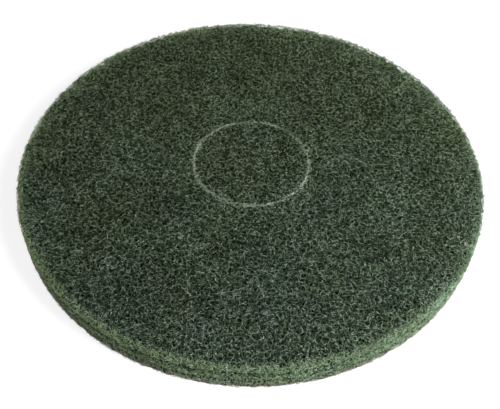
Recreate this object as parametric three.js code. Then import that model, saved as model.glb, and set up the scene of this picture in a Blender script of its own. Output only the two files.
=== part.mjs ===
// A round floor pad for a rotary scrubbing and polishing machine: one disc of non-woven nylon web.
// The web is laid in three layers, whose joins show as wandering creases round the cut edge.
// A centre plug is die-cut from above and hangs on by the skin of web that the die leaves below it.
// Millimetres, +Z up. The origin is the middle of the underside, and the pad spins about Z.
import * as THREE from "three";

// The disc
const padDiameter = 330;
const bottomLayer = 8;
const middleLayer = 8;
const topLayer = 6;
const edgeRound = 2.5; // radius of the soft top and bottom edges

// The creases between the layers, at the cut edge
const creaseMouth = 2; // height of a crease where it opens
const creaseShallow = 0.6; // depth where a crease has almost closed
const creaseDeep = 3.2; // depth where it gapes most
const creaseWander = 1.5; // how far a crease strays above and below the join of its layers

// The die cut round the centre plug
const plugDiameter = 83;
const cutWidth = 0.8;
const cutLip = 0.6; // chamfer where the blade pressed the fibres down
const cutSkin = 5; // web left whole under the cut

// Fineness of the mesh
const turnSteps = 120;
const roundSteps = 3;
const creaseSteps = 4;

const padRadius = padDiameter / 2;
const padThickness = bottomLayer + middleLayer + topLayer;
const creaseReach = creaseMouth / 2 + creaseWander;
const bottomRound = Math.min(edgeRound, bottomLayer - creaseReach);
const topRound = Math.min(edgeRound, topLayer - creaseReach);

// The joins between the layers. A join has waves of its own, each as [cycles round the pad, phase].
// Its strays move it up and down, and its fades open and close it.
const lowJoin = {
  height: bottomLayer,
  strays: [[3, 0.4], [8, 2.1], [17, 4.0]],
  fades: [[2, 2.4], [7, 3.0], [13, 0.2]],
};
const highJoin = {
  height: bottomLayer + middleLayer,
  strays: [[5, 1.3], [12, 3.1], [19, 1.9]],
  fades: [[2, 2.8], [8, 1.6], [11, 5.1]],
};

// The mean of a join's waves at one place round the pad, from -1 to 1.
function meanOf(waves, turn) {
  const sum = waves.reduce((total, [cycles, phase]) => total + Math.sin(cycles * turn + phase), 0);
  return sum / waves.length;
}

// An arc of the section, centred on (radius, height), from one angle above the outward direction to another.
function arc(radius, height, round, from, to) {
  const points = [];
  for (let step = 0; step <= roundSteps; step++) {
    const angle = THREE.MathUtils.lerp(from, to, step / roundSteps);
    points.push([radius + round * Math.cos(angle), height + round * Math.sin(angle)]);
  }
  return points;
}

// A crease at one place round the pad: a notch with rounded sides, from its lower lip to its upper one.
function crease({ height, strays, fades }, turn) {
  const middle = height + creaseWander * meanOf(strays, turn);
  const depth = THREE.MathUtils.mapLinear(meanOf(fades, turn), -1, 1, creaseShallow, creaseDeep);
  const points = [];
  for (let step = 0; step <= creaseSteps; step++) {
    const share = step / creaseSteps;
    const inward = depth * Math.sin(Math.PI * share) ** 2;
    points.push([padRadius - inward, middle + creaseMouth * (share - 0.5)]);
  }
  return points;
}

// The die cut: down its outer wall from the outer lip, across its floor and up to the inner lip.
function dieCut() {
  const outer = (plugDiameter + cutWidth) / 2;
  const inner = (plugDiameter - cutWidth) / 2;
  return [
    [outer + cutLip, padThickness],
    [outer, padThickness - cutLip],
    [outer, cutSkin],
    [inner, cutSkin],
    [inner, padThickness - cutLip],
    [inner - cutLip, padThickness],
  ];
}

// The section at one place round the pad, from the middle of the underside to the middle of the top.
// Its points are [radius, height].
function section(turn) {
  return [
    [0, 0],
    ...arc(padRadius - bottomRound, bottomRound, bottomRound, -Math.PI / 2, 0),
    ...crease(lowJoin, turn),
    ...crease(highJoin, turn),
    ...arc(padRadius - topRound, padThickness - topRound, topRound, 0, Math.PI / 2),
    ...dieCut(),
    [0, padThickness],
  ];
}

// One section is turned about Z, and then each of its copies gets the creases of its own place.
function padGeometry() {
  const outline = section(0).map(([radius, height]) => new THREE.Vector2(radius, height));
  const geometry = new THREE.LatheGeometry(outline, turnSteps).rotateX(Math.PI / 2);
  const corners = geometry.getAttribute("position");
  for (let step = 0; step <= turnSteps; step++) {
    const turn = (2 * Math.PI * (step % turnSteps)) / turnSteps;
    section(turn).forEach(([radius, height], point) => {
      const corner = step * outline.length + point;
      corners.setXYZ(corner, radius * Math.sin(turn), -radius * Math.cos(turn), height);
    });
  }
  geometry.computeVertexNormals();
  return geometry;
}

const greenWeb = new THREE.MeshStandardMaterial({ color: 0x5b6f58, roughness: 0.75, metalness: 0 });

const pad = new THREE.Mesh(padGeometry(), greenWeb);
pad.name = "floor_pad";

const part = new THREE.Group();
part.add(pad);

export default part;
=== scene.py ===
import math

import bmesh
import bpy
import numpy as np
from mathutils import Matrix, Vector, noise


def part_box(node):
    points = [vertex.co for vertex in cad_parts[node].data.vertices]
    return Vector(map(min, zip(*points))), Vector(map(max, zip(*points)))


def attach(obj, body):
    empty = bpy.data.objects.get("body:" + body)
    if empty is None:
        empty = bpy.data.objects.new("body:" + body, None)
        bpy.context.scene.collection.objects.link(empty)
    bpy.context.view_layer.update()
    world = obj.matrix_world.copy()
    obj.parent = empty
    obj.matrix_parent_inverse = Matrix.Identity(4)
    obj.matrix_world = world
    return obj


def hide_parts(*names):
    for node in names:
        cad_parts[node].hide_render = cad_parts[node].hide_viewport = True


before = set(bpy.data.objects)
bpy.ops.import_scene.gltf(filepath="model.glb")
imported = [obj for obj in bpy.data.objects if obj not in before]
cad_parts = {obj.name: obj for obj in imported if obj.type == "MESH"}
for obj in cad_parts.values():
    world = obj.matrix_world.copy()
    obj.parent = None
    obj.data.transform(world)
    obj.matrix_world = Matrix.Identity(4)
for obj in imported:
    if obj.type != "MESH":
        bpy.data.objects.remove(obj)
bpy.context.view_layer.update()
print("frame loaded")

mm = 0.001
padLow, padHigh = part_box("floor_pad")
padRadius = (padHigh[0] - padLow[0]) / 2
padThickness = padHigh[2] - padLow[2]

# The pad's skin, which every strand is laid along. The joins repeat the solid's own waves,
# each as (cycles round the pad, phase): strays move a crease up and down, fades open and close it.
# The gashes are finer waves that break up the creases' painted shade.
skin = {
    "edgeRound": 1.6 * mm,
    "lowRound": 0.3 * mm,  # the underside's edge is cut sharper
    "creaseMouth": 2.6 * mm,
    "creaseShallow": 0.6 * mm,
    "creaseDeep": 3.2 * mm,
    "creaseWander": 1.5 * mm,
    "layerBulge": 0.7 * mm,  # how far a layer's edge draws in beside its creases
    "bulgeReach": 1.5 * mm,
    "shutReach": 0.3,  # share of that reach where a crease has closed
    "gashWidth": 0.8 * mm,
    "gashLeast": 0.5,
    "shutShade": 0.3,
    "openShade": 1.1,  # how much more painted shade an open crease has than a closed one
    "plugRadius": 41.5 * mm,
    "floorGap": 0.4 * mm,  # how far the core and the middles of the edge's strands keep from the floor
    "joins": (
        {
            "height": 8 * mm,
            "shade": 0.42,
            "strays": ((3, 0.4), (8, 2.1), (17, 4.0)),
            "fades": ((2, 2.4), (7, 3.0), (13, 0.2)),
            "gashes": ((29, 0.7), (47, 2.6), (83, 1.1)),
        },
        {
            "height": 16 * mm,
            "shade": 1.2,
            "strays": ((5, 1.3), (12, 3.1), (19, 1.9)),
            "fades": ((2, 2.8), (8, 1.6), (11, 5.1)),
            "gashes": ((37, 3.3), (59, 0.4), (97, 5.0)),
        },
    ),
}
faceRun = padRadius - skin["edgeRound"]  # from a face's middle to where its edge begins to turn
wallRun = padThickness - skin["edgeRound"] - skin["lowRound"]
wallStart = faceRun + skin["edgeRound"] * math.pi / 2
underStart = wallStart + wallRun + skin["lowRound"] * math.pi / 2
# From the middle of the top, over the edge, to the middle of the underside
skinRun = underStart + padRadius - skin["lowRound"]


def meanWave(waves, turn):
    return sum(np.sin(cycles * turn + phase) for cycles, phase in waves) / len(waves)


# A crease's distance from places on the wall, and how open it is there, from 0 to 1.
def creaseNear(join, height, turn):
    middle = join["height"] + skin["creaseWander"] * meanWave(join["strays"], turn)
    return np.abs(height - middle), (1 + meanWave(join["fades"], turn)) / 2


# How far the wall draws in at a height: the creases, and the soft bulge of the layers between them.
def wallDraw(height, turn):
    draw = np.zeros_like(height)
    nearest = np.full_like(height, padThickness)
    for join in skin["joins"]:
        off, openness = creaseNear(join, height, turn)
        depth = skin["creaseShallow"] + (skin["creaseDeep"] - skin["creaseShallow"]) * openness
        draw += depth * np.clip(1 - off / (skin["creaseMouth"] / 2), 0, 1)
        nearest = np.minimum(nearest, off / (skin["shutReach"] + (1 - skin["shutReach"]) * openness))
    return draw + skin["layerBulge"] * np.exp(-nearest / skin["bulgeReach"])


# Painted shade in the wall's creases: how dark the wall is near them, from 0 to 1.
def creaseShade(height, turn):
    dark = np.zeros_like(height)
    for join in skin["joins"]:
        off, openness = creaseNear(join, height, turn)
        gash = skin["gashLeast"] + (1 + meanWave(join["gashes"], turn)) / 2
        width = skin["gashWidth"] * gash
        gap = join["shade"] * (skin["shutShade"] + skin["openShade"] * openness) * gash
        dark = np.maximum(dark, gap * np.exp(-((off / width) ** 2)))
    return np.clip(dark, 0, 1)


# Places on the skin, from the distance run over it from the top's middle, the turn about Z and the lift.
def onSkin(run, turn, lift):
    topRound = skin["edgeRound"]
    lowRound = skin["lowRound"]
    run = np.clip(run, 0, skinRun)
    topAngle = np.clip((run - faceRun) / topRound, 0, math.pi / 2)
    lowAngle = np.clip((run - wallStart - wallRun) / lowRound, 0, math.pi / 2)
    lean = topAngle + lowAngle  # 0 on the top, a quarter turn on the wall, a half turn underneath
    down = np.clip(run - wallStart, 0, wallRun)
    radius = np.minimum(run, faceRun) + topRound * np.sin(topAngle) - lowRound * (1 - np.cos(lowAngle))
    radius = radius - np.clip(run - underStart, 0, None)
    height = padThickness - topRound * (1 - np.cos(topAngle)) - down - lowRound * np.sin(lowAngle)
    radius = radius + lift * np.sin(lean) - wallDraw(height, turn) * np.sin(lean)
    height = height + lift * np.cos(lean)
    return np.stack((radius * np.sin(turn), -radius * np.cos(turn), height), -1)


# Keeps the lift small enough near the underside that nothing reaches through the floor.
def aboveFloor(lift, run, deepest):
    return np.minimum(lift, np.maximum(underStart - skin["floorGap"] - run, -deepest))


# Random centres for the open pits of the web, one in each square of a sheet, and how wide each pit is.
def scatterPits(rng, web):
    squares = 512
    offsets = rng.uniform(-web["pitStray"], web["pitStray"], (squares, squares, 2))
    widths = web["pitRadius"] * rng.uniform(*web["pitSpread"], (squares, squares))
    return offsets, widths


# Pushes strands off the pits' centres, so that they crowd into a net round them.
# It also gives how deep in a pit each place was, from 0 to 1.
def openPits(places, pits, web):
    offsets, widths = pits
    pitch = web["pitPitch"]
    square = np.floor(places / pitch).astype(int)
    push = np.zeros_like(places)
    inPit = np.zeros(places.shape[:-1])
    for acrossStep in (-1, 0, 1):
        for alongStep in (-1, 0, 1):
            cell = square + (acrossStep, alongStep)
            pick = tuple(np.moveaxis(cell % len(offsets), -1, 0))
            centre = (cell + 0.5 + offsets[pick]) * pitch
            away = places - centre
            distance = np.linalg.norm(away, axis=-1) + 1e-9
            reach = widths[pick]
            depth = np.exp(-((distance / reach) ** 2))
            push += away * (reach * depth / distance)[..., None]
            inPit = np.maximum(inPit, depth)
    return places + push, inPit


# What the strands of all the webs have in common.
strandWays = {
    "bendKept": 0.75,  # how much of its bend a strand keeps from one step to the next
    "bendNew": 0.66,
    "waveSpread": (0.7, 1.4),
    "endSteps": 0.8,  # how many steps the dive at a strand's end takes
    "evenDepth": 0.8 * mm,  # a strand at this depth has its own tone, neither paler nor darker for its painted shade by depth
    "leastStep": 0.02 * mm,
}


# Walks every strand of a web over a flat sheet at once, each bending its own way as it goes.
def walkStrands(rng, starts, headings, web):
    count = len(starts)
    places = np.empty((count, web["steps"] + 1, 2))
    places[:, 0] = starts
    heading = headings.copy()
    bend = rng.normal(0, 1, count)
    for step in range(web["steps"]):
        bend = strandWays["bendKept"] * bend + strandWays["bendNew"] * rng.normal(0, 1, count)
        heading = heading + bend * web["stride"] / web["curl"]
        stride = web["stride"] * np.stack((np.cos(heading), np.sin(heading)), -1)
        places[:, step + 1] = places[:, step] + stride
    return places


# How high each strand lies above the skin along its way: it surfaces and dives, and its ends go down.
def weaveLift(rng, count, web):
    steps = np.arange(web["steps"] + 1)
    depth = rng.uniform(web["lowest"], web["highest"], count)[:, None]
    waveSteps = rng.uniform(*strandWays["waveSpread"], count)[:, None] * web["waveRun"] / web["stride"]
    phase = rng.uniform(0, 2 * math.pi, count)[:, None]
    lift = depth + web["waveLift"] * np.sin(2 * math.pi * steps / waveSteps + phase)
    toEnd = np.minimum(steps, web["steps"] - steps)
    return lift - web["endDive"] * np.exp(-toEnd / strandWays["endSteps"])


# The rim of the top face is loose, most of all at the back: the light that comes through it is painted on,
# as paler strands and a lighter core.
rimPlan = {
    "loosest": math.radians(160),
    "least": 0.06,
    "reach": 7 * mm,
    "pastTop": 1 * mm,  # how far down the wall the paleness goes
    "fade": 0.8 * mm,
    "tone": 0.4,  # how much paler the top's strands are there
    "edgeTone": 0.1,  # and the edge's
    "coreLight": 2.2,  # and how much lighter the core is
}


def looseShare(turn):
    share = (1 + np.cos(turn - rimPlan["loosest"])) / 2
    return rimPlan["least"] + (1 - rimPlan["least"]) * share


# How much painted light comes through the loose rim, from 0 to 1.
def rimLitThrough(run, turn):
    onTop = 1 / (1 + np.exp((run - wallStart - rimPlan["pastTop"]) / rimPlan["fade"]))
    return looseShare(turn) * onTop * np.exp(-np.clip(faceRun - run, 0, None) / rimPlan["reach"])


# A strand's paleness along its way, from 0 to 1: its own, blots of resin, and painted shade, so that it is
# paler where it lies higher.
def strandTones(rng, lift, web):
    own = rng.normal(0.5, web["toneSpread"], (len(lift), 1))
    blots = rng.normal(0, web["blots"], lift.shape)
    return own + blots + web["shadeByLift"] / mm * (lift + strandWays["evenDepth"])


# The strands' radii, each a little its own.
def strandRadii(rng, count, web):
    spread = web["thicknessSpread"]
    return web["thickness"] / 2 * rng.uniform(1 - spread, 1 + spread, (count, 1))


# The web is paler beside the ring of the die cut, and more so on two of its sides, above all on one.
ringTone = {
    "paler": 0.25,
    "reach": 2.4 * mm,
    "everywhere": 0.62,
    "twoSides": (0.3, 1.2),  # how much more, and at which turn about Z
    "oneSide": (0.12, 5),
}


def ringPale(run, turn):
    more, moreAt = ringTone["twoSides"]
    most, mostAt = ringTone["oneSide"]
    show = ringTone["everywhere"] + more * np.cos(2 * (turn - moreAt)) + most * np.cos(turn - mostAt)
    return ringTone["paler"] * show * np.exp(-(((run - skin["plugRadius"]) / ringTone["reach"]) ** 2))


# Three-sided outline that every strand is drawn with, of unit radius, so a point's radius is the strand's.
def makeStrandOutline():
    outline = bpy.data.curves.new("strandOutline", "CURVE")
    outline.dimensions = "2D"
    spline = outline.splines.new("POLY")
    spline.points.add(2)
    for corner, point in enumerate(spline.points):
        angle = -2 * math.pi * corner / 3  # this way round, the strands' faces point outwards
        point.co = (math.cos(angle), math.sin(angle), 0, 1)
    spline.use_cyclic_u = True
    outlineObject = bpy.data.objects.new("strandOutline", outline)
    bpy.context.scene.collection.objects.link(outlineObject)
    return outlineObject


strandOutline = makeStrandOutline()


# One mesh of strands along paths of equal length, each with a tone, and each closed by a point at both ends.
# A strand that has two corners in one place is left out.
def layStrands(name, paths, radii, tones, material):
    apart = np.linalg.norm(np.diff(paths, axis=1), axis=-1).min(axis=-1) > strandWays["leastStep"]
    paths, radii, tones = paths[apart], radii[apart], tones[apart]
    curve = bpy.data.curves.new(name, "CURVE")
    curve.dimensions = "3D"
    curve.bevel_mode = "OBJECT"
    curve.bevel_object = strandOutline
    count, points = paths.shape[:2]
    corners = np.ones((count, points, 4))
    corners[..., :3] = paths
    thick = np.array(np.broadcast_to(radii, (count, points)))
    thick[:, [0, -1]] = 0
    for strand in range(count):
        spline = curve.splines.new("POLY")
        spline.points.add(points - 1)
        spline.points.foreach_set("co", corners[strand].ravel())
        spline.points.foreach_set("radius", thick[strand])
        spline.use_smooth = True
    drawn = bpy.data.objects.new(name + "Drawn", curve)
    bpy.context.scene.collection.objects.link(drawn)
    mesh = bpy.data.meshes.new_from_object(drawn.evaluated_get(bpy.context.evaluated_depsgraph_get()))
    bpy.data.objects.remove(drawn)
    bpy.data.curves.remove(curve)
    tone = mesh.attributes.new("strandTone", "FLOAT", "POINT")
    ringCorners = len(mesh.vertices) // (count * points)
    perPoint = np.clip(np.broadcast_to(tones, (count, points)), 0, 1).reshape(-1)
    tone.data.foreach_set("value", np.repeat(perPoint, ringCorners).astype(np.float32))
    bm = bmesh.new()
    bm.from_mesh(mesh)
    bmesh.ops.remove_doubles(bm, verts=bm.verts, dist=1e-7)
    bm.to_mesh(mesh)
    bm.free()
    mesh.name = name
    mesh.materials.clear()
    mesh.materials.append(material)
    piece = bpy.data.objects.new(name, mesh)
    bpy.context.scene.collection.objects.link(piece)
    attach(piece, "root")
    triangles = sum(len(face.vertices) - 2 for face in mesh.polygons)
    print(f"{name}: {count} strands, {triangles} triangles")


# A node that turns one span of values into another.
def addRange(nodes, span, result):
    ranged = nodes.new("ShaderNodeMapRange")
    ranged.inputs["From Min"].default_value = span[0]
    ranged.inputs["From Max"].default_value = span[1]
    ranged.inputs["To Min"].default_value = result[0]
    ranged.inputs["To Max"].default_value = result[1]
    return ranged


def addNoise(nodes, scale, detail):
    texture = nodes.new("ShaderNodeTexNoise")
    texture.inputs["Scale"].default_value = scale
    texture.inputs["Detail"].default_value = detail
    return texture


# The dye took in wide patches, some cooler and some darker, and unevenly along each strand.
dyePlan = {
    "wideScale": 30,
    "wideDetail": 3,
    "wideSpan": (0.35, 0.65),
    "wideLight": (0.8, 1.2),
    "coolSpan": (0.25, 0.95),
    "fineScale": 1300,
    "fineDetail": 2,
    "fineSpan": (0.3, 0.7),
    "fineLight": (0.3, 1.7),
}


# Patches of cooler and warmer, darker and lighter green, as the web's resin took the dye.
# The green also grows cooler across the pad.
def makeDyePatches():
    group = bpy.data.node_groups.new("dyePatches", "ShaderNodeTree")
    group.interface.new_socket("Color", in_out="INPUT", socket_type="NodeSocketColor")
    group.interface.new_socket("Cool", in_out="INPUT", socket_type="NodeSocketColor")
    group.interface.new_socket("Amount", in_out="INPUT", socket_type="NodeSocketFloat")
    group.interface.new_socket("Toward", in_out="INPUT", socket_type="NodeSocketVector")
    group.interface.new_socket("Color", in_out="OUTPUT", socket_type="NodeSocketColor")
    nodes = group.nodes
    links = group.links
    inside = nodes.new("NodeGroupInput")
    outside = nodes.new("NodeGroupOutput")
    where = nodes.new("ShaderNodeTexCoord")
    wide = addNoise(nodes, dyePlan["wideScale"], dyePlan["wideDetail"])
    links.new(where.outputs["Object"], wide.inputs["Vector"])
    fine = addNoise(nodes, dyePlan["fineScale"], dyePlan["fineDetail"])
    links.new(where.outputs["Object"], fine.inputs["Vector"])
    across = nodes.new("ShaderNodeVectorMath")
    across.operation = "DOT_PRODUCT"
    links.new(where.outputs["Object"], across.inputs[0])
    links.new(inside.outputs["Toward"], across.inputs[1])
    cooler = nodes.new("ShaderNodeMath")
    links.new(across.outputs["Value"], cooler.inputs[0])
    links.new(wide.outputs["Fac"], cooler.inputs[1])
    hue = addRange(nodes, dyePlan["coolSpan"], (0, 1))
    links.new(cooler.outputs[0], hue.inputs["Value"])
    share = nodes.new("ShaderNodeMath")
    share.operation = "MULTIPLY"
    links.new(hue.outputs["Result"], share.inputs[0])
    links.new(inside.outputs["Amount"], share.inputs[1])
    tint = nodes.new("ShaderNodeMix")
    tint.data_type = "RGBA"
    tint.blend_type = "MULTIPLY"
    links.new(share.outputs[0], tint.inputs["Factor"])
    links.new(inside.outputs["Color"], tint.inputs["A"])
    links.new(inside.outputs["Cool"], tint.inputs["B"])
    level = addRange(nodes, dyePlan["fineSpan"], dyePlan["fineLight"])
    links.new(fine.outputs["Fac"], level.inputs["Value"])
    drift = addRange(nodes, dyePlan["wideSpan"], dyePlan["wideLight"])
    links.new(wide.outputs["Color"], drift.inputs["Value"])
    light = nodes.new("ShaderNodeMath")
    light.operation = "MULTIPLY"
    links.new(level.outputs["Result"], light.inputs[0])
    links.new(drift.outputs["Result"], light.inputs[1])
    shade = nodes.new("ShaderNodeVectorMath")
    shade.operation = "SCALE"
    links.new(tint.outputs["Result"], shade.inputs[0])
    links.new(light.outputs[0], shade.inputs["Scale"])
    links.new(shade.outputs["Vector"], outside.inputs["Color"])
    return group


dyePatches = makeDyePatches()

# The grit stands out of the resin as fine bumps.
gritPlan = {
    "scale": 4500,
    "detail": 2,
    "strength": 0.5,
    "height": 0.12 * mm,
}


# Green strands: a tone for each, dye patches over the whole pad, soil on the lowest strands,
# with painted bounce light from the floor on the cut edge's, and fine grit held in the resin.
def makeStrandMaterial(name, look):
    material = bpy.data.materials.new(name)
    material.use_nodes = True
    tree = material.node_tree
    nodes = tree.nodes
    links = tree.links
    shader = nodes["Principled BSDF"]
    shader.inputs["Roughness"].default_value = look["roughness"]
    shader.inputs["Specular IOR Level"].default_value = look["specular"]
    tone = nodes.new("ShaderNodeAttribute")
    tone.attribute_name = "strandTone"
    ramp = nodes.new("ShaderNodeValToRGB")
    ramp.color_ramp.elements[0].color = (*look["dark"], 1)
    ramp.color_ramp.elements[1].color = (*look["pale"], 1)
    middle = ramp.color_ramp.elements.new(0.5)
    middle.color = (*look["green"], 1)
    links.new(tone.outputs["Fac"], ramp.inputs["Fac"])
    patches = nodes.new("ShaderNodeGroup")
    patches.node_tree = dyePatches
    patches.inputs["Cool"].default_value = (*look["cool"], 1)
    patches.inputs["Amount"].default_value = look["coolAmount"]
    patches.inputs["Toward"].default_value = look["coolToward"]
    links.new(ramp.outputs["Color"], patches.inputs["Color"])
    where = nodes.new("ShaderNodeTexCoord")
    place = nodes.new("ShaderNodeSeparateXYZ")
    links.new(where.outputs["Object"], place.inputs[0])
    # Soil on the lowest strands, and on the cut edge painted bounce light from the floor as well.
    low = addRange(nodes, (0, look["lowTintTop"]), (look["lowTintMost"], 0))
    links.new(place.outputs["Z"], low.inputs["Value"])
    lowTinted = nodes.new("ShaderNodeMix")
    lowTinted.data_type = "RGBA"
    lowTinted.inputs["B"].default_value = (*look["lowTint"], 1)
    links.new(low.outputs["Result"], lowTinted.inputs["Factor"])
    links.new(patches.outputs["Color"], lowTinted.inputs["A"])
    links.new(lowTinted.outputs["Result"], shader.inputs["Base Color"])
    grit = addNoise(nodes, gritPlan["scale"], gritPlan["detail"])
    links.new(where.outputs["Object"], grit.inputs["Vector"])
    bump = nodes.new("ShaderNodeBump")
    bump.inputs["Strength"].default_value = gritPlan["strength"]
    bump.inputs["Distance"].default_value = gritPlan["height"]
    links.new(grit.outputs["Fac"], bump.inputs["Height"])
    links.new(bump.outputs["Normal"], shader.inputs["Normal"])
    return material


faceLook = {
    "dark": (0.014, 0.022, 0.010),
    "green": (0.162, 0.243, 0.113),
    "pale": (0.43, 0.49, 0.36),
    "cool": (0.98, 1.0, 1.36),  # the cooler green, as shares of the green
    "coolAmount": 0.85,
    "coolToward": (0.3, -2.2, 0),  # how much cooler over a metre along X, Y and Z
    "roughness": 0.5,
    "specular": 0.25,
    "lowTint": (0.16, 0.165, 0.11),
    "lowTintMost": 0.8,
    "lowTintTop": 0.6 * mm,
}
faceMaterial = makeStrandMaterial("faceStrands", faceLook)

edgeLook = {
    "dark": (0.020, 0.038, 0.015),
    "green": (0.170, 0.240, 0.094),
    "pale": (0.42, 0.51, 0.33),
    "cool": (0.84, 1.0, 1.3),
    "coolAmount": 0.8,
    "coolToward": (2.2, -0.3, 0),
    "roughness": 0.55,
    "specular": 0.35,
    "lowTint": (0.40, 0.37, 0.31),
    "lowTintMost": 0.8,
    "lowTintTop": 8.5 * mm,  # the web's lowest strands are rubbed and soiled up to this height, and paler there with painted bounce light from the floor
}
edgeMaterial = makeStrandMaterial("edgeStrands", edgeLook)


# A net of strands drawn on a surface: 1 on a strand, 0 in the open pits between.
# A strand's own middle, in cells, is all net, and it fades from there to the strand's width.
netMiddle = 0.02


def makeStrandNet():
    group = bpy.data.node_groups.new("strandNet", "ShaderNodeTree")
    group.interface.new_socket("Cell Size", in_out="INPUT", socket_type="NodeSocketFloat")
    group.interface.new_socket("Warp", in_out="INPUT", socket_type="NodeSocketFloat")
    group.interface.new_socket("Strand Width", in_out="INPUT", socket_type="NodeSocketFloat")
    group.interface.new_socket("Net", in_out="OUTPUT", socket_type="NodeSocketFloat")
    nodes = group.nodes
    links = group.links
    inside = nodes.new("NodeGroupInput")
    outside = nodes.new("NodeGroupOutput")
    where = nodes.new("ShaderNodeTexCoord")
    cellsAcross = nodes.new("ShaderNodeMath")
    cellsAcross.operation = "DIVIDE"
    cellsAcross.inputs[0].default_value = 1
    links.new(inside.outputs["Cell Size"], cellsAcross.inputs[1])
    warp = nodes.new("ShaderNodeTexNoise")
    warp.inputs["Detail"].default_value = 1
    links.new(cellsAcross.outputs[0], warp.inputs["Scale"])
    links.new(where.outputs["Object"], warp.inputs["Vector"])
    swayAmount = nodes.new("ShaderNodeMath")
    swayAmount.operation = "MULTIPLY"
    links.new(inside.outputs["Cell Size"], swayAmount.inputs[0])
    links.new(inside.outputs["Warp"], swayAmount.inputs[1])
    sway = nodes.new("ShaderNodeVectorMath")
    sway.operation = "SCALE"
    links.new(warp.outputs["Color"], sway.inputs[0])
    links.new(swayAmount.outputs[0], sway.inputs["Scale"])
    moved = nodes.new("ShaderNodeVectorMath")
    links.new(where.outputs["Object"], moved.inputs[0])
    links.new(sway.outputs["Vector"], moved.inputs[1])
    cells = nodes.new("ShaderNodeTexVoronoi")
    cells.feature = "DISTANCE_TO_EDGE"
    links.new(cellsAcross.outputs[0], cells.inputs["Scale"])
    links.new(moved.outputs["Vector"], cells.inputs["Vector"])
    net = addRange(nodes, (netMiddle, 1), (1, 0))
    net.interpolation_type = "SMOOTHSTEP"
    links.new(inside.outputs["Strand Width"], net.inputs["From Max"])
    links.new(cells.outputs["Distance"], net.inputs["Value"])
    links.new(net.outputs["Result"], outside.inputs["Net"])
    return group


strandNet = makeStrandNet()

# The inside of the web, seen between the strands: two crossing nets of deeper strands over painted shade.
coreLook = {
    # painted shade in the open pits of the inside
    "gapShade": (0.001, 0.002, 0.001),
    "net": (0.056, 0.082, 0.040),
    "cellSizes": (2.8 * mm, 2.1 * mm),
    "warps": (1.2, 1.5),
    "strandWidths": (0.060, 0.056),  # in cells
    "roughness": 0.7,
    "specular": 0.03,
    "bump": 0.8,
    "bumpHeight": 0.6 * mm,
}


def makeCoreMaterial():
    material = bpy.data.materials.new("webInside")
    material.use_nodes = True
    nodes = material.node_tree.nodes
    links = material.node_tree.links
    shader = nodes["Principled BSDF"]
    shader.inputs["Roughness"].default_value = coreLook["roughness"]
    shader.inputs["Specular IOR Level"].default_value = coreLook["specular"]
    nets = []
    for size, warp, width in zip(coreLook["cellSizes"], coreLook["warps"], coreLook["strandWidths"]):
        net = nodes.new("ShaderNodeGroup")
        net.node_tree = strandNet
        net.inputs["Cell Size"].default_value = size
        net.inputs["Warp"].default_value = warp
        net.inputs["Strand Width"].default_value = width
        nets.append(net)
    both = nodes.new("ShaderNodeMath")
    both.operation = "MAXIMUM"
    links.new(nets[0].outputs["Net"], both.inputs[0])
    links.new(nets[1].outputs["Net"], both.inputs[1])
    mix = nodes.new("ShaderNodeMix")
    mix.data_type = "RGBA"
    mix.inputs["A"].default_value = (*coreLook["gapShade"], 1)
    mix.inputs["B"].default_value = (*coreLook["net"], 1)
    links.new(both.outputs[0], mix.inputs["Factor"])
    patches = nodes.new("ShaderNodeGroup")
    patches.node_tree = dyePatches
    patches.inputs["Cool"].default_value = (*faceLook["cool"], 1)
    patches.inputs["Amount"].default_value = faceLook["coolAmount"]
    patches.inputs["Toward"].default_value = faceLook["coolToward"]
    links.new(mix.outputs["Result"], patches.inputs["Color"])
    light = nodes.new("ShaderNodeAttribute")
    light.attribute_name = "webLight"
    shade = nodes.new("ShaderNodeVectorMath")
    shade.operation = "SCALE"
    links.new(patches.outputs["Color"], shade.inputs[0])
    links.new(light.outputs["Fac"], shade.inputs["Scale"])
    links.new(shade.outputs["Vector"], shader.inputs["Base Color"])
    bump = nodes.new("ShaderNodeBump")
    bump.inputs["Strength"].default_value = coreLook["bump"]
    bump.inputs["Distance"].default_value = coreLook["bumpHeight"]
    links.new(both.outputs[0], bump.inputs["Height"])
    links.new(bump.outputs["Normal"], shader.inputs["Normal"])
    return material


coreForm = {
    "faceSink": 2.1 * mm,
    "wallSink": 0.9 * mm,
    "lipSink": 0.8 * mm,  # how much deeper the core lies under the rim of the top face, where it is loosest
    "lipMiddle": 1 * mm,  # the lip's own middle, past the start of the edge
    "lipReach": 2.5 * mm,
    "sinkBlend": 6 * mm,  # how far in from the edge the core rises to the wall's depth
    "lump": 0.7 * mm,
    "lumpSize": 4 * mm,
    "edgeLump": 1.0 * mm,  # added to the lumps along the rim
    "looseLump": 1.4 * mm,  # and added once more where the rim is loosest
    "wallLight": 2,  # how much paler the inside of the web is at the cut edge
    # painted shade in the creases of the web's inside
    "gashShade": 0.9,
    "turnSteps": 320,
    "faceRows": 30,
    "wallRows": 26,
}


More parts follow.
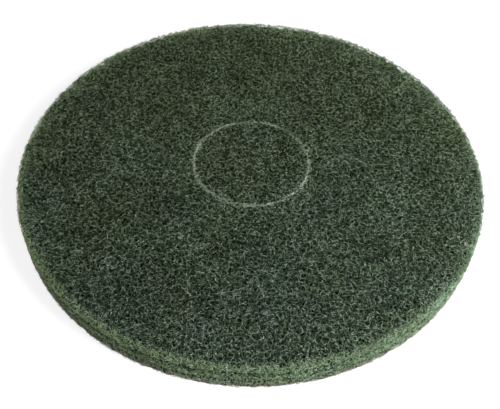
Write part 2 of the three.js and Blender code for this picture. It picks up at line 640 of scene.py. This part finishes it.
# The core is a sheet wrapped over the whole skin, a little below it, and closed at its seam and poles.
def makeCore():
    faceRows = coreForm["faceRows"]
    rows = np.linspace(0, faceRun, faceRows + 1)
    rows = np.append(rows, np.linspace(faceRun, underStart, coreForm["wallRows"] + 1)[1:])
    rows = np.append(rows, np.linspace(underStart, skinRun, faceRows + 1)[1:])
    bm = bmesh.new()
    bmesh.ops.create_grid(bm, x_segments=coreForm["turnSteps"], y_segments=len(rows) - 1, size=0.5)
    sheet = np.array([vert.co[:2] for vert in bm.verts]) + 0.5
    turn = 2 * math.pi * sheet[:, 0]
    run = rows[np.rint(sheet[:, 1] * (len(rows) - 1)).astype(int)]
    flat = onSkin(run, turn, np.zeros(len(run)))
    lumps = np.array([noise.noise(Vector(place) / coreForm["lumpSize"]) for place in flat])
    toWall = np.maximum(faceRun - run, run - underStart)
    faceShare = np.clip(toWall / coreForm["sinkBlend"], 0, 1)
    sink = coreForm["wallSink"] + (coreForm["faceSink"] - coreForm["wallSink"]) * faceShare
    lip = np.exp(-(((run - faceRun - coreForm["lipMiddle"]) / coreForm["lipReach"]) ** 2))
    sink = sink + coreForm["lipSink"] * looseShare(turn) * lip
    edgeLump = coreForm["edgeLump"] + coreForm["looseLump"] * looseShare(turn) * lip
    lift = (coreForm["lump"] + edgeLump * (1 - faceShare)) * lumps - sink
    lift = aboveFloor(lift, run, skin["floorGap"])
    for vert, place in zip(bm.verts, onSkin(run, turn, lift)):
        vert.co = place
    bmesh.ops.remove_doubles(bm, verts=bm.verts, dist=1e-5)
    bmesh.ops.recalc_face_normals(bm, faces=bm.faces)
    mesh = bpy.data.meshes.new("web_core")
    bm.to_mesh(mesh)
    bm.free()
    spots = np.array([vert.co[:] for vert in mesh.vertices])
    onWall = np.hypot(spots[:, 0], spots[:, 1]) > faceRun - coreForm["wallSink"] - skin["creaseDeep"]
    spotTurn = np.arctan2(spots[:, 0], -spots[:, 1])
    # Painted shade in the wall's creases.
    dark = creaseShade(spots[:, 2], spotTurn) * onWall
    onTop = spots[:, 2] > padThickness - 2 * coreForm["faceSink"]
    # Painted light through the loose rim of the top face.
    loose = rimLitThrough(np.hypot(spots[:, 0], spots[:, 1]), spotTurn) * onTop
    light = (1 + coreForm["wallLight"] * onWall) * (1 - coreForm["gashShade"] * dark)
    light = light + rimPlan["coreLight"] * loose
    mesh.attributes.new("webLight", "FLOAT", "POINT").data.foreach_set("value", light.astype(np.float32))
    mesh.shade_smooth()
    mesh.materials.append(makeCoreMaterial())
    core = bpy.data.objects.new("web_core", mesh)
    bpy.context.scene.collection.objects.link(core)
    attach(core, "root")
    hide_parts("floor_pad")
    print(f"web_core: {len(mesh.polygons)} faces")


makeCore()


# Webs over the faces. Each strand is laid flat on the disc and then wrapped over its edge.
topWeb = {
    "perArea": 1.5,  # millimetres of strand on each square millimetre
    "steps": 3,
    "stride": 1.02 * mm,
    "curl": 3.6 * mm,
    "lowest": -1.6 * mm,
    "highest": -0.1 * mm,
    "waveLift": 0.4 * mm,
    "waveRun": 4 * mm,
    "endDive": 0.7 * mm,
    "thickness": 0.24 * mm,
    "thicknessSpread": 0.25,
    "pitPitch": 3.7 * mm,
    "pitStray": 0.45,
    "pitRadius": 1.3 * mm,
    "pitSpread": (0.2, 1.2),
    # painted shade in the pits: how much darker a strand deep in one is
    "pitShade": 0.4,
    "pitShare": 0.4,  # a strand this deep in a pit is neither paler nor darker for its painted pit shade
    "overhang": 2 * mm,  # how far past the face strands may start
    "toneSpread": 0.15,
    "blots": 0.14,
    "shadeByLift": 0.27,  # painted shade: a strand is paler by this much for each millimetre that it lies higher
    "pieces": 3,
}


def layFaceWeb(name, web, seed, underneath=False):
    rng = np.random.default_rng(seed)
    pits = scatterPits(rng, web)
    reach = padRadius + web["overhang"]
    length = web["steps"] * web["stride"]
    total = round(web["perArea"] / mm * math.pi * reach**2 / length)
    for number in range(web["pieces"]):
        count = total // web["pieces"]
        startTurn = rng.uniform(0, 2 * math.pi, count)
        startRun = reach * np.sqrt(rng.uniform(0, 1, count))
        starts = np.stack((startRun * np.cos(startTurn), startRun * np.sin(startTurn)), -1)
        places = walkStrands(rng, starts, rng.uniform(0, 2 * math.pi, count), web)
        places, inPit = openPits(places, pits, web)
        run = np.linalg.norm(places, axis=-1)
        turn = np.unwrap(np.arctan2(places[..., 1], places[..., 0]), axis=-1)
        lift = weaveLift(rng, count, web)
        # Painted shade: strands deep in a pit are darker, strands between the pits paler.
        tones = strandTones(rng, lift, web) - web["pitShade"] * (inPit - web["pitShare"])
        if underneath:
            run = skinRun - run
            lift = aboveFloor(lift, run, web["thickness"])
        else:
            # The ring's paleness, and painted light through the loose rim.
            tones = tones + ringPale(run, turn) + rimPlan["tone"] * rimLitThrough(run, turn)
        radii = strandRadii(rng, count, web)
        label = name if web["pieces"] == 1 else f"{name}_{number + 1}"
        layStrands(label, onSkin(run, turn, lift), radii, tones, faceMaterial)


layFaceWeb("top_web", topWeb, 11)

# Fewer and longer strands will do for the underside.
underWeb = dict(topWeb, perArea=0.36, stride=1.4 * mm, pieces=1)
layFaceWeb("under_web", underWeb, 23, underneath=True)


# The cut edge: strands a little thicker than on the faces, and more of them level than upright.
edgeWeb = {
    "perArea": 1.9,
    "steps": 4,
    "stride": 0.9 * mm,
    "curl": 2.2 * mm,
    "lowest": -0.6 * mm,
    "highest": 0.6 * mm,
    "waveLift": 0.3 * mm,
    "waveRun": 4 * mm,
    "endDive": 0.1 * mm,
    "thickness": 0.28 * mm,
    "thicknessSpread": 0.25,
    "pitPitch": 1.9 * mm,
    "pitStray": 0.4,
    "pitRadius": 0.5 * mm,
    "pitSpread": (0.55, 1.3),
    "pitStretch": 1.5,  # the pits of the cut edge are squeezed flat
    "toneSpread": 0.15,
    "blots": 0.12,
    "shadeByLift": 0.16,
    "lipPale": 0.05,
    "lipReach": 2 * mm,
    "strandCreaseShade": 0.65,  # painted shade: how much darker the strands beside a crease are
    "creaseKept": (0.5, 1.3),  # a strand is left out where its painted crease shade is more than a chance value between these
    "overlap": 1 * mm,  # how far the cut edge's strands reach over the faces
    "headingSpread": 1.2,  # radians either side of level
    "deepest": 2.4 * mm,  # how far the strands go in where they turn underneath
    "pieces": 2,
}


def layEdgeWeb(name, web, seed):
    rng = np.random.default_rng(seed)
    pits = scatterPits(rng, web)
    firstRun = faceRun - web["overlap"]
    span = underStart + web["overlap"] - firstRun
    length = web["steps"] * web["stride"]
    total = round(web["perArea"] / mm * 2 * math.pi * padRadius * span / length)
    squeeze = np.array((web["pitStretch"], 1))
    for number in range(web["pieces"]):
        count = total // web["pieces"]
        startAlong = rng.uniform(0, 2 * math.pi * padRadius, count)
        startRun = firstRun + rng.uniform(0, span, count)
        headings = rng.normal(0, web["headingSpread"], count)
        places = walkStrands(rng, np.stack((startAlong, startRun), -1), headings, web)
        places = openPits(places / squeeze, pits, web)[0] * squeeze
        run = np.clip(places[..., 1], firstRun - web["overlap"], underStart + 2 * web["overlap"])
        turn = places[..., 0] / padRadius
        lift = weaveLift(rng, count, web)
        height = onSkin(run, turn, lift)[..., 2]
        # Painted shade beside the creases darkens the strands there, and the darkest are left out.
        dark = creaseShade(height, turn)
        kept = dark.max(axis=-1) < rng.uniform(*web["creaseKept"], count)
        lip = np.exp(-(((run - faceRun - web["lipReach"]) / web["lipReach"]) ** 2))
        tones = strandTones(rng, lift, web) + web["lipPale"] * lip - web["strandCreaseShade"] * dark
        # Painted light through the loose rim.
        tones = tones + rimPlan["edgeTone"] * rimLitThrough(run, turn)
        radii = strandRadii(rng, count, web)
        places = onSkin(run, turn, aboveFloor(lift, run, web["deepest"]))
        layStrands(f"{name}_{number + 1}", places[kept], radii[kept], tones[kept], edgeMaterial)


layEdgeWeb("edge_web", edgeWeb, 37)


# Loops that stand out of the cut edge, most of them round the rim of the top face.
edgeLoops = {
    "strands": 4900,  # before those left out where the rim is tight
    "steps": 4,
    "stride": 0.85 * mm,
    "curl": 1.6 * mm,
    "lowest": -0.5 * mm,
    "highest": 2.1 * mm,
    "root": 1.2 * mm,  # how deep a loop's ends lie
    "tightKept": 0.35,  # share of the loops kept where the rim is tight
    "tightHeight": 0.5,  # and share of their height
    "rimShare": 0.6,
    "rimMiddle": 1 * mm,
    "rimSpread": 1.5 * mm,
    "thickness": 0.31 * mm,
    "thicknessSpread": 0.25,
    "tone": 0.45,
    "toneSpread": 0.15,
}


def layLoops(name, web, seed):
    rng = np.random.default_rng(seed)
    startTurn = rng.uniform(0, 2 * math.pi, web["strands"])
    kept = web["tightKept"] + (1 - web["tightKept"]) * looseShare(startTurn)
    startTurn = startTurn[rng.uniform(0, 1, web["strands"]) < kept]
    count = len(startTurn)
    startRun = rng.uniform(faceRun, underStart, count)
    rim = rng.normal(faceRun + web["rimMiddle"], web["rimSpread"], count)
    startRun = np.where(rng.uniform(0, 1, count) < web["rimShare"], rim, startRun)
    starts = np.stack((startTurn * padRadius, startRun), -1)
    places = walkStrands(rng, starts, rng.uniform(0, 2 * math.pi, count), web)
    run = places[..., 1]
    turn = places[..., 0] / padRadius
    arch = np.sin(math.pi * np.arange(web["steps"] + 1) / web["steps"])
    height = web["tightHeight"] + (1 - web["tightHeight"]) * looseShare(turn)
    highest = rng.uniform(web["lowest"], web["highest"], (count, 1)) * height
    lift = (highest + web["root"]) * arch - web["root"]
    lift = aboveFloor(lift, run, web["root"])
    tones = rng.normal(web["tone"], web["toneSpread"], (count, 1))
    radii = strandRadii(rng, count, web)
    layStrands(name, onSkin(run, turn, lift), radii, tones, edgeMaterial)


layLoops("edge_loops", edgeLoops, 53)


# The ring that the die left: strands dragged round it and standing a little proud, paler than the rest.
ringWeb = {
    "strands": 640,
    "steps": 4,
    "stride": 0.8 * mm,
    "curl": 3.5 * mm,
    "lowest": -0.6 * mm,
    "highest": 0.1 * mm,
    "waveLift": 0.2 * mm,
    "waveRun": 5 * mm,
    "endDive": 0.4 * mm,
    "thickness": 0.27 * mm,
    "thicknessSpread": 0.2,
    "spread": 0.42 * mm,
    "headingSpread": 0.35,
    "breaks": ((7, 0.6), (16, 2.0), (29, 4.4)),  # waves of paleness round the ring
    "breakTone": 0.3,
    "paler": 2,  # times the paleness of the web beside the ring
    "tone": -0.1,
    "toneSpread": 0.15,
    "blots": 0.1,
    "shadeByLift": 0.15,
}


def layRingWeb(name, web, seed):
    rng = np.random.default_rng(seed)
    count = web["strands"]
    startTurn = rng.uniform(0, 2 * math.pi, count)
    starts = np.stack((startTurn * skin["plugRadius"], rng.normal(0, web["spread"], count)), -1)
    places = walkStrands(rng, starts, rng.normal(0, web["headingSpread"], count), web)
    run = skin["plugRadius"] + places[..., 1]
    lift = weaveLift(rng, count, web)
    turn = places[..., 0] / skin["plugRadius"]
    tones = strandTones(rng, lift, web) + web["paler"] * ringPale(run, turn) + web["tone"]
    tones = tones + web["breakTone"] * meanWave(web["breaks"], turn)
    radii = strandRadii(rng, count, web)
    layStrands(name, onSkin(run, turn, lift), radii, tones, faceMaterial)


layRingWeb("cut_ring", ringWeb, 41)

bpy.data.objects.remove(strandOutline)


# The studio: a white floor that keeps the pad's shadow, a soft lamp on the right, a low wide one
# on the left, and plain light all round.
studio = {
    "floorSize": 8.0,
    "floorLift": 0.82,  # share of the floor's white that the camera sees without any lamp, near the pad
    "shadowReach": 0.3,
    "whiteReach": 1.1,  # from here on the floor is plain white
    "shadowTone": (0.36, 0.36, 0.36, 1),  # what the lamps add to it, which the pad's shadow lacks
    "floorTone": (0.95, 0.95, 0.95, 1),  # what the pad gets back of the light on the floor
    "floorRoughness": 0.9,
    "sky": 0.13,
    "keyPower": 8.5,
    "keySize": 0.33,
    "keyPlace": (0.456, -0.319, 0.51),
    "fillPower": 10.0,
    "fillSize": 1.0,
    "fillPlace": (-1.25, -1.15, 0.35),
}


def makeFloor():
    bm = bmesh.new()
    bmesh.ops.create_grid(bm, x_segments=1, y_segments=1, size=studio["floorSize"] / 2)
    mesh = bpy.data.meshes.new("studioFloor")
    bm.to_mesh(mesh)
    bm.free()
    material = bpy.data.materials.new("studioFloor")
    material.use_nodes = True
    nodes = material.node_tree.nodes
    links = material.node_tree.links
    shader = nodes["Principled BSDF"]
    shader.inputs["Base Color"].default_value = studio["floorTone"]
    shader.inputs["Roughness"].default_value = studio["floorRoughness"]
    glow = nodes.new("ShaderNodeEmission")
    where = nodes.new("ShaderNodeTexCoord")
    reach = nodes.new("ShaderNodeVectorMath")
    reach.operation = "LENGTH"
    links.new(where.outputs["Object"], reach.inputs[0])
    lift = addRange(nodes, (studio["shadowReach"], studio["whiteReach"]), (studio["floorLift"], 1))
    links.new(reach.outputs["Value"], lift.inputs["Value"])
    links.new(lift.outputs["Result"], glow.inputs["Strength"])
    seen = nodes.new("ShaderNodeLightPath")
    dark = nodes.new("ShaderNodeBsdfDiffuse")
    dark.inputs["Color"].default_value = studio["shadowTone"]
    both = nodes.new("ShaderNodeAddShader")
    links.new(glow.outputs[0], both.inputs[0])
    links.new(dark.outputs[0], both.inputs[1])
    mix = nodes.new("ShaderNodeMixShader")
    links.new(seen.outputs["Is Camera Ray"], mix.inputs[0])
    links.new(shader.outputs[0], mix.inputs[1])
    links.new(both.outputs[0], mix.inputs[2])
    links.new(mix.outputs[0], nodes["Material Output"].inputs["Surface"])
    mesh.materials.append(material)
    floor = bpy.data.objects.new("studioFloor", mesh)
    bpy.context.scene.collection.objects.link(floor)


def makeSky():
    world = bpy.data.worlds.new("studioSky")
    bpy.context.scene.world = world
    world.use_nodes = True
    nodes = world.node_tree.nodes
    links = world.node_tree.links
    lit = nodes["Background"]
    lit.inputs["Color"].default_value = (1, 1, 1, 1)
    lit.inputs["Strength"].default_value = studio["sky"]
    white = nodes.new("ShaderNodeBackground")
    white.inputs["Color"].default_value = (1, 1, 1, 1)
    white.inputs["Strength"].default_value = 1
    seen = nodes.new("ShaderNodeLightPath")
    mix = nodes.new("ShaderNodeMixShader")
    links.new(seen.outputs["Is Camera Ray"], mix.inputs[0])
    links.new(lit.outputs[0], mix.inputs[1])
    links.new(white.outputs[0], mix.inputs[2])
    links.new(mix.outputs[0], nodes["World Output"].inputs["Surface"])


def addLamp(name, place, power, size):
    lamp = bpy.data.lights.new(name, "AREA")
    lamp.shape = "DISK"
    lamp.energy = power
    lamp.size = size
    lampObject = bpy.data.objects.new(name, lamp)
    lampObject.location = place
    lampObject.rotation_euler = (-Vector(place)).to_track_quat("-Z", "Y").to_euler()
    bpy.context.scene.collection.objects.link(lampObject)


makeFloor()
makeSky()
addLamp("keyLamp", studio["keyPlace"], studio["keyPower"], studio["keySize"])
addLamp("fillLamp", studio["fillPlace"], studio["fillPower"], studio["fillSize"])
print("studio ready")

# The camera looks at the middle of the top face from this height and distance, then tips down and rolls.
cameraPlan = {
    "elevation": 46.45,
    "distance": 0.5134,
    "tipDown": 3.487,
    "roll": 1.852,
    "lens": 51.1,
    "sensor": 36,
}


def makeCamera():
    rise = math.radians(cameraPlan["elevation"])
    tip = math.radians(cameraPlan["tipDown"])
    roll = math.radians(cameraPlan["roll"])
    back = Vector((0, -math.cos(rise), math.sin(rise)))
    up = Vector((0, math.sin(rise), math.cos(rise)))
    forward = -back * math.cos(tip) - up * math.sin(tip)
    right = Vector((1, 0, 0))
    up = right.cross(forward)
    rolledRight = right * math.cos(roll) + up * math.sin(roll)
    rolledUp = up * math.cos(roll) - right * math.sin(roll)
    data = bpy.data.cameras.new("photoCamera")
    data.sensor_fit = "HORIZONTAL"
    data.sensor_width = cameraPlan["sensor"]
    data.lens = cameraPlan["lens"]
    data.clip_start = 0.01
    camera = bpy.data.objects.new("photoCamera", data)
    spot = Vector((0, 0, padThickness)) + back * cameraPlan["distance"]
    turned = Matrix((rolledRight, rolledUp, -forward)).transposed()
    camera.matrix_world = Matrix.Translation(spot) @ turned.to_4x4()
    bpy.context.scene.collection.objects.link(camera)
    bpy.context.scene.camera = camera


makeCamera()
bpy.context.scene.view_settings.view_transform = "Standard"
print("camera set")
